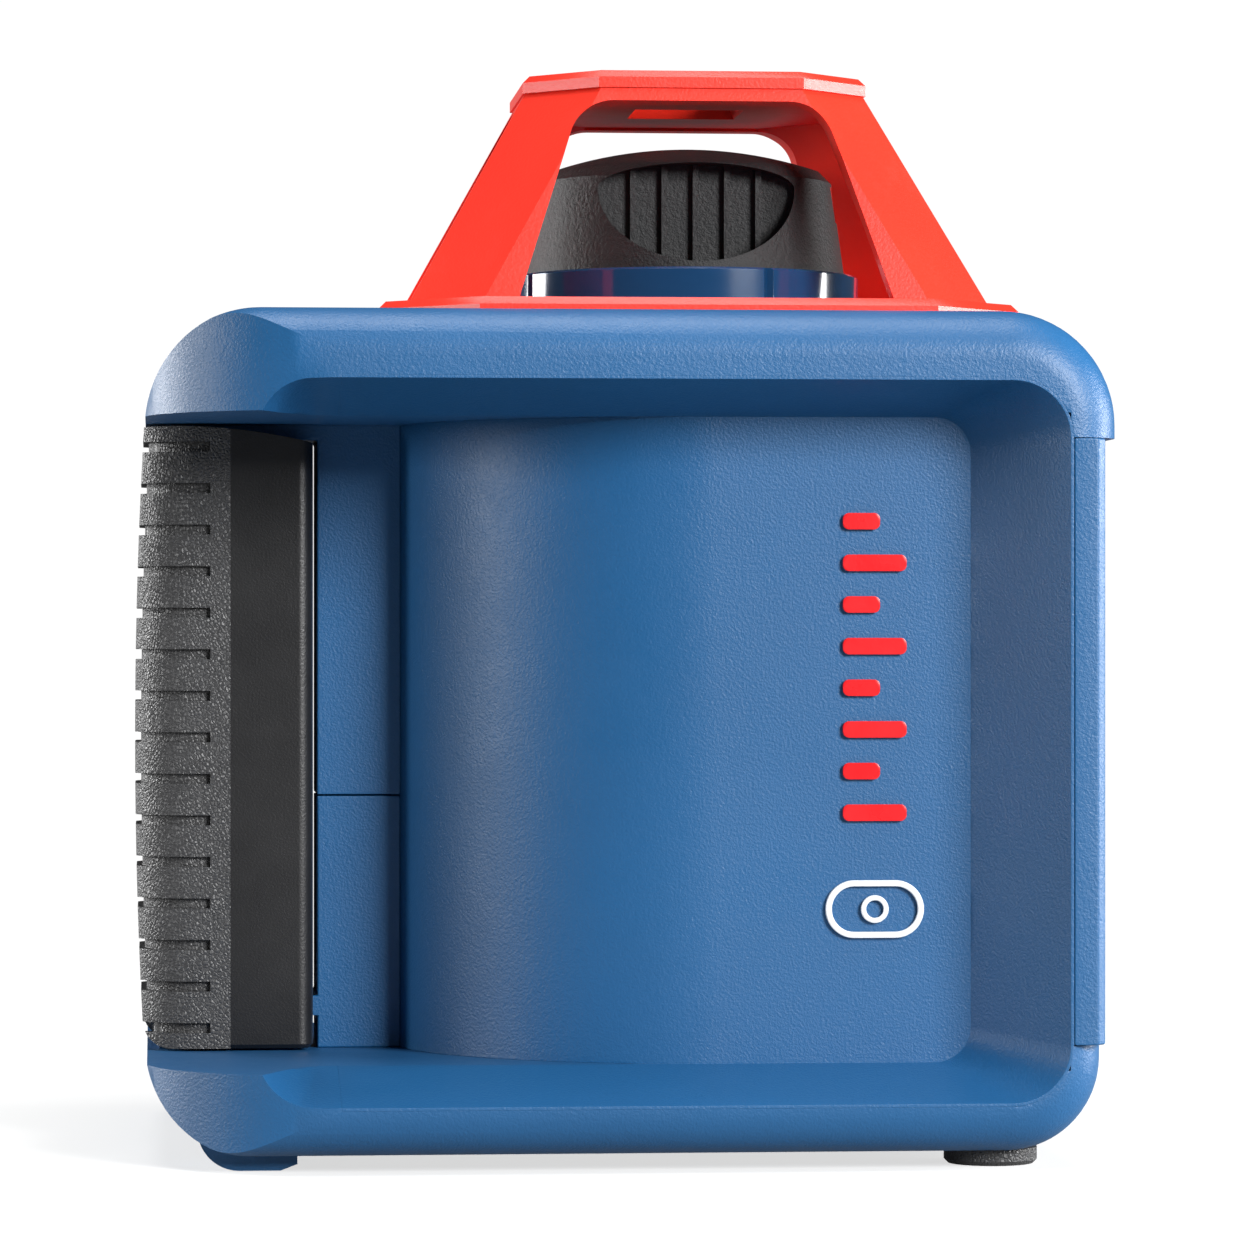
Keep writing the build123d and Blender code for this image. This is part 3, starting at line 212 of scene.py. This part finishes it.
# The rotor cap, the keypad's bezel, the motor mount and the holders of vials and prism: stiff black
# mouldings in glass-filled nylon, with a coarse spark grain.
black_grain, at = new_finish("black_grain")
pits = noise(at, 1300.0, 3.0, 0.7)
cloud = noise(at, 45.0, 4.0)
finish_with(black_grain, at,
            (0.4 * cloud + 0.6 * pits).tint((0.005, 0.005, 0.006), (0.022, 0.022, 0.023)),
            0.46 + 0.20 * pits, pits, 0.00030, Specular_IOR_Level=0.32)
dress(black_grain, "rotor_cap", "keypad_bezel", "motor_mount", "vial_holder", "prism_holder")
soften(0.0005, "rotor_cap")
soften(0.0003, "keypad_bezel", "motor_mount", "vial_holder")

# The grip's smooth body: satin black nylon, moulded in one piece and polished a little by hands. It
# hangs on the hinge pin at its foot and is the lid of the battery column.
black_satin, at = new_finish("black_satin")
hand = noise(at, 55.0, 5.0, 0.65)
fine = noise(at, 2200.0, 2.0)
finish_with(black_satin, at, hand.tint((0.006, 0.006, 0.007), (0.014, 0.014, 0.015)),
            0.30 + 0.14 * hand, fine, 0.00005)
dress(black_satin, "grip_core")
soften(0.0006, "grip_core")

# The grip pad and the other rubber: leather-grained thermoplastic rubber, dull and faintly dusty, with
# painted shade in the creases of its grain.
# The pad wraps round the back of the grip's body. Feet, keys, seals and belt share its finish.
rubber, at = new_finish("leather_rubber")
cells = at.node("ShaderNodeTexVoronoi", {"feature": "DISTANCE_TO_EDGE"}, Vector=at, Scale=1350.0)
crease_relief_and_shade = cells.ramp((0.0, 0.0), (0.35, 1.0))
dust = noise(at, 80.0, 6.0, 0.7)
# The colour is darker along the grain's creases: painted shade in the hollows that the bump also cuts. The
# dust tone varies at random.
finish_with(rubber, at,
            (0.65 * dust + 0.35 * crease_relief_and_shade).tint((0.024, 0.024, 0.025), (0.066, 0.066, 0.068)),
            0.36 + 0.16 * dust, crease_relief_and_shade + 0.5 * noise(at, 2400.0), 0.00014)
RUBBER = ("grip_pad", "front_feet", "head_gasket", "case_seals", "button_power", "button_speed",
          "button_slope", "button_manual", "drive_belt")
dress(rubber, *RUBBER)
soften(0.0005, "grip_pad")
soften(0.0003, "front_feet", "button_power", "button_speed", "button_slope", "button_manual")

# Raised marks of the near panel: a red graduated scale and the white outline of a bubble vial, both
# glossy plastic inserts that are staked in place by ultrasound.
mark_red, at = new_finish("mark_red")
haze = noise(at, 120.0, 4.0)
finish_with(mark_red, at, haze.tint((0.62, 0.006, 0.010), (0.74, 0.012, 0.016)), 0.22 + 0.12 * haze,
            noise(at, 900.0), 0.00002)
dress(mark_red, "scale_badge")
soften(0.0002, "scale_badge")
mark_white, at = new_finish("mark_white")
haze = noise(at, 120.0, 4.0)
finish_with(mark_white, at, haze.tint((0.66, 0.70, 0.73), (0.80, 0.82, 0.84)), 0.24 + 0.12 * haze,
            noise(at, 900.0), 0.00002)
dress(mark_white, "vial_badge")
soften(0.00015, "vial_badge")

# Metal parts: brass inserts and nuts turned from bar, zinc-plated steel, and machined alloy. Each
# has its stains and its tooling lines, which run round Z where it is turned.
TURNED = (60.0, 60.0, 6000.0)
ROLLED = (200.0, 3000.0, 200.0)


def metal(name, low, high, roughness, tooling):
    """A bare metal between two tones, with lines stretched by its tooling."""
    made, place = new_finish(name)
    lines = noise(place.node("ShaderNodeMapping", Vector=place, Scale=tooling), 1.0, 3.0)
    stain = noise(place, 70.0, 5.0)
    return finish_with(made, place, (0.6 * stain + 0.4 * lines).tint(low, high),
                       roughness + 0.15 * lines, lines, 0.00003, Metallic=1.0)


brass = metal("turned_brass", (0.46, 0.28, 0.09), (0.66, 0.45, 0.18), 0.22, TURNED)
dress(brass, "tripod_insert_base", "tripod_insert_side", "pitch_nut", "roll_nut", "motor_pulley")
steel = metal("plated_steel", (0.40, 0.41, 0.43), (0.58, 0.59, 0.60), 0.24, TURNED)
dress(steel, "tie_screws", "cage_screws", "hinge_pin", "battery_contact", "battery_spring", "tilt_motors",
      "drive_motor", "head_bearings", "hub_circlip", "pitch_pins", "roll_pins", "pitch_screw", "roll_screw",
      "board_standoffs")
alloy = metal("machined_alloy", (0.52, 0.53, 0.55), (0.68, 0.69, 0.71), 0.28, ROLLED)
dress(alloy, "gimbal_frame", "gimbal_ring", "laser_tube", "rotor_hub", "laser_diode", "keypad_pillars")
soften(0.0003, "tripod_insert_base", "tripod_insert_side", "tie_screws", "gimbal_frame", "gimbal_ring",
       "laser_tube", "tilt_motors", "drive_motor")

# The threads of the two tripod inserts: 5/8 inch 11 ridges, cut in the brass, one ridge to each.
# The base insert opens downwards and the end insert opens towards the flat end.
THREAD_ROOT = 0.00695
THREAD_CREST = 0.00620
THREAD_PITCH = 0.00231
THREAD_STEPS = 24
RIDGE_HALF = 0.42 * THREAD_PITCH
RUN_IN = 0.6 * THREAD_PITCH
for insert, along in (("tripod_insert_base", 2), ("tripod_insert_side", 0)):
    low, high = (Vector(corner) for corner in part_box(insert))
    middle = (low + high) / 2
    length = high[along] - low[along]
    turns = int(length / THREAD_PITCH) - 1
    axis = Vector((0.0, 0.0, 0.0))
    axis[along] = 1.0
    outward = Vector((0.0, 1.0, 0.0))
    start = middle - axis * (length / 2 - RUN_IN)
    ridge = bmesh.new()
    corners = [ridge.verts.new(start + outward * THREAD_ROOT - axis * RIDGE_HALF),
               ridge.verts.new(start + outward * THREAD_CREST),
               ridge.verts.new(start + outward * THREAD_ROOT + axis * RIDGE_HALF)]
    profile = [ridge.edges.new((corners[i], corners[(i + 1) % 3])) for i in range(3)]
    ridge.faces.new(corners)
    swept = bmesh.ops.spin(ridge, geom=corners + profile, cent=middle, axis=axis,
                           angle=2 * math.pi * turns, dvec=axis * THREAD_PITCH / THREAD_STEPS,
                           steps=THREAD_STEPS * turns, use_merge=False)
    far_end = [part for part in swept["geom_last"] if isinstance(part, bmesh.types.BMEdge)]
    bmesh.ops.contextual_create(ridge, geom=far_end)
    bmesh.ops.recalc_face_normals(ridge, faces=ridge.faces)
    thread_mesh = bpy.data.meshes.new(insert + "_thread")
    ridge.to_mesh(thread_mesh)
    ridge.free()
    thread_mesh.materials.append(brass)
    thread = bpy.data.objects.new(insert + "_thread", thread_mesh)
    scene.collection.objects.link(thread)
    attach(thread, "housing")

# Marks on the four keys: plain white signs moulded through the rubber, a ring and bar for power,
# chevrons for the turning speed, a wedge for slope and a cross for manual work.
MARK_PROUD = 0.00035
MARK_SEAT = 0.0001
STROKE = 0.0009
RING_R = 0.0029
RING_SHARE = 0.7
# Each stroke: its middle, across and up, then its width, its height and its turn in degrees.
KEY_SIGNS = {
    "power": ((0.0, 0.0026, STROKE, 0.0034, 0.0),),
    "speed": ((-0.0014, 0.0010, STROKE, 0.0034, -45.0), (-0.0014, -0.0010, STROKE, 0.0034, 45.0),
              (0.0016, 0.0010, STROKE, 0.0034, -45.0), (0.0016, -0.0010, STROKE, 0.0034, 45.0)),
    "slope": ((0.0, -0.0020, 0.0066, STROKE, 0.0), (0.0, 0.0, 0.0075, STROKE, 30.0)),
    "manual": ((0.0, 0.0, 0.0062, STROKE, 0.0), (0.0, 0.0, STROKE, 0.0062, 0.0)),
}
for key, strokes in KEY_SIGNS.items():
    low, high = (Vector(corner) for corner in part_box("button_" + key))
    sign = bmesh.new()
    for x, z, width, height, turn in strokes:
        bar = bmesh.ops.create_grid(sign, x_segments=1, y_segments=1, size=0.5)["verts"]
        bmesh.ops.scale(sign, vec=(width, height, 1.0), verts=bar)
        lean = Matrix.Rotation(math.radians(turn), 3, "Z")
        bmesh.ops.rotate(sign, cent=(0, 0, 0), matrix=lean, verts=bar)
        bmesh.ops.translate(sign, vec=(x, z, 0.0), verts=bar)
    if key == "power":
        rim = bmesh.ops.create_circle(sign, cap_ends=False, segments=40, radius=RING_R)["verts"]
        rim_edges = [edge for edge in sign.edges if edge.verts[0] in rim and edge.verts[1] in rim]
        grown = bmesh.ops.extrude_edge_only(sign, edges=rim_edges)
        inner = [part for part in grown["geom"] if isinstance(part, bmesh.types.BMVert)]
        bmesh.ops.scale(sign, vec=(RING_SHARE, RING_SHARE, 1.0), verts=inner)
    upright = Matrix.Rotation(math.radians(90.0), 3, "X")
    bmesh.ops.rotate(sign, cent=(0, 0, 0), matrix=upright, verts=sign.verts)
    sign.normal_update()
    bmesh.ops.reverse_faces(sign, faces=[face for face in sign.faces if face.normal.y < 0])
    bmesh.ops.translate(sign, verts=sign.verts,
                        vec=((low.x + high.x) / 2, high.y - MARK_SEAT, (low.z + high.z) / 2))
    sign_mesh = bpy.data.meshes.new("sign_" + key)
    sign.to_mesh(sign_mesh)
    sign.free()
    sign_mesh.materials.append(mark_white)
    sign_piece = bpy.data.objects.new("sign_" + key, sign_mesh)
    scene.collection.objects.link(sign_piece)
    thick = sign_piece.modifiers.new("moulded_depth", "SOLIDIFY")
    thick.thickness = MARK_PROUD
    thick.offset = 1.0
    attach(sign_piece, key + "_button")

# The main board on its standoffs and the keypad's board on its pillars: fibreglass laminate with
# green solder mask, whose weave shows faintly through.
board_green, at = new_finish("board_green")
weave = at.node("ShaderNodeTexWave", {"bands_direction": "X"}, 1, Vector=at, Scale=900.0, Distortion=0.5)
finish_with(board_green, at, (0.5 * weave + 0.5 * noise(at, 200.0)).tint((0.004, 0.060, 0.022),
            (0.010, 0.105, 0.040)), 0.30 + 0.10 * weave, weave, 0.00002)
dress(board_green, "main_board", "keypad_board")

# The optics: clear lens, prism, vials and status lenses, ground or moulded and then polished, and the
# red-tinted window that the beam leaves by.
clear_glass, at = new_finish("clear_glass")
smear = noise(at, 150.0, 4.0)
finish_with(clear_glass, at, smear.tint((0.86, 0.93, 0.95), (0.93, 0.97, 0.98)), 0.02 + 0.06 * smear,
            Transmission_Weight=1.0, IOR=1.52)
dress(clear_glass, "collimator_lens", "pentaprism", "level_vials", "status_lenses")
window_glass, at = new_finish("window_glass")
smear = noise(at, 150.0, 4.0)
finish_with(window_glass, at, smear.tint((0.10, 0.008, 0.008), (0.16, 0.012, 0.012)), 0.04 + 0.08 * smear,
            Transmission_Weight=0.35, IOR=1.52, Coat_Weight=0.6, Coat_Roughness=0.03)
dress(window_glass, "laser_window")

# The two battery cells: steel cans in foil-printed sleeves, stacked in the column behind the grip and
# held between a spring and a contact.
cell_foil, at = new_finish("cell_foil")
streak = noise(at.node("ShaderNodeMapping", Vector=at, Scale=(400.0, 400.0, 20.0)), 1.0, 3.0)
finish_with(cell_foil, at, streak.tint((0.10, 0.11, 0.13), (0.24, 0.25, 0.28)), 0.20 + 0.18 * streak,
            streak, 0.00002, Metallic=0.7)
dress(cell_foil, "battery_cells")

# The floor: a wide sheet of pale matt paper under the feet. It is part see-through and fades out into
# the white backdrop.
FLOOR_REACH = 1.2
FLOOR_DENSITY = 0.35
FADE_FROM, FADE_TO = 0.20, 0.75
backdrop = bmesh.new()
bmesh.ops.create_grid(backdrop, x_segments=1, y_segments=1, size=FLOOR_REACH)
floor_mesh = bpy.data.meshes.new("floor")
backdrop.to_mesh(floor_mesh)
backdrop.free()
floor = bpy.data.objects.new("floor", floor_mesh)
scene.collection.objects.link(floor)
paper, at = new_finish("paper")
reach = at.node("ShaderNodeVectorMath", {"operation": "LENGTH"}, 1, i0=at)
finish_with(paper, at, noise(at, 3.0).tint((0.93, 0.93, 0.93), (0.95, 0.95, 0.95)), 0.9,
            Alpha=reach.ramp((FADE_FROM, FLOOR_DENSITY), (FADE_TO, 0.0)))
floor_mesh.materials.append(paper)

# The light: five square soft boxes that look at the middle of the case, and a white backdrop that
# gives it only a faint fill.
CENTRE = (0.0, 0.0, 0.1)
FILL = 0.08
BACKDROP = 0.95


def soft_box(name, place, size, power):
    """A square soft light that looks at the middle of the case."""
    data = bpy.data.lights.new(name, "AREA")
    data.shape = "SQUARE"
    data.size = size
    data.energy = power
    light = bpy.data.objects.new(name, data)
    light.location = place
    light.rotation_euler = (Vector(CENTRE) - Vector(place)).to_track_quat("-Z", "Y").to_euler()
    scene.collection.objects.link(light)


soft_box("key_right", (0.80, -1.20, 0.60), 0.5, 36.0)
soft_box("rim_left", (-1.15, 0.75, 0.35), 0.6, 16.0)
soft_box("rim_right", (1.2, 0.02, 0.25), 0.4, 17.0)
soft_box("edge_left", (-1.3, -0.18, 0.25), 0.2, 6.0)
soft_box("top_box", (0.0, -0.15, 1.4), 0.8, 15.0)
world = bpy.data.worlds.new("studio")
scene.world = world
world.use_nodes = True
sky = Wire(world.node_tree)
seen = sky.node("ShaderNodeLightPath")
background = world.node_tree.nodes["Background"]
background.inputs["Color"].default_value = (1.0, 1.0, 1.0, 1.0)
world.node_tree.links.new((FILL + BACKDROP * seen).socket, background.inputs["Strength"])
scene.view_settings.view_transform = "Standard"
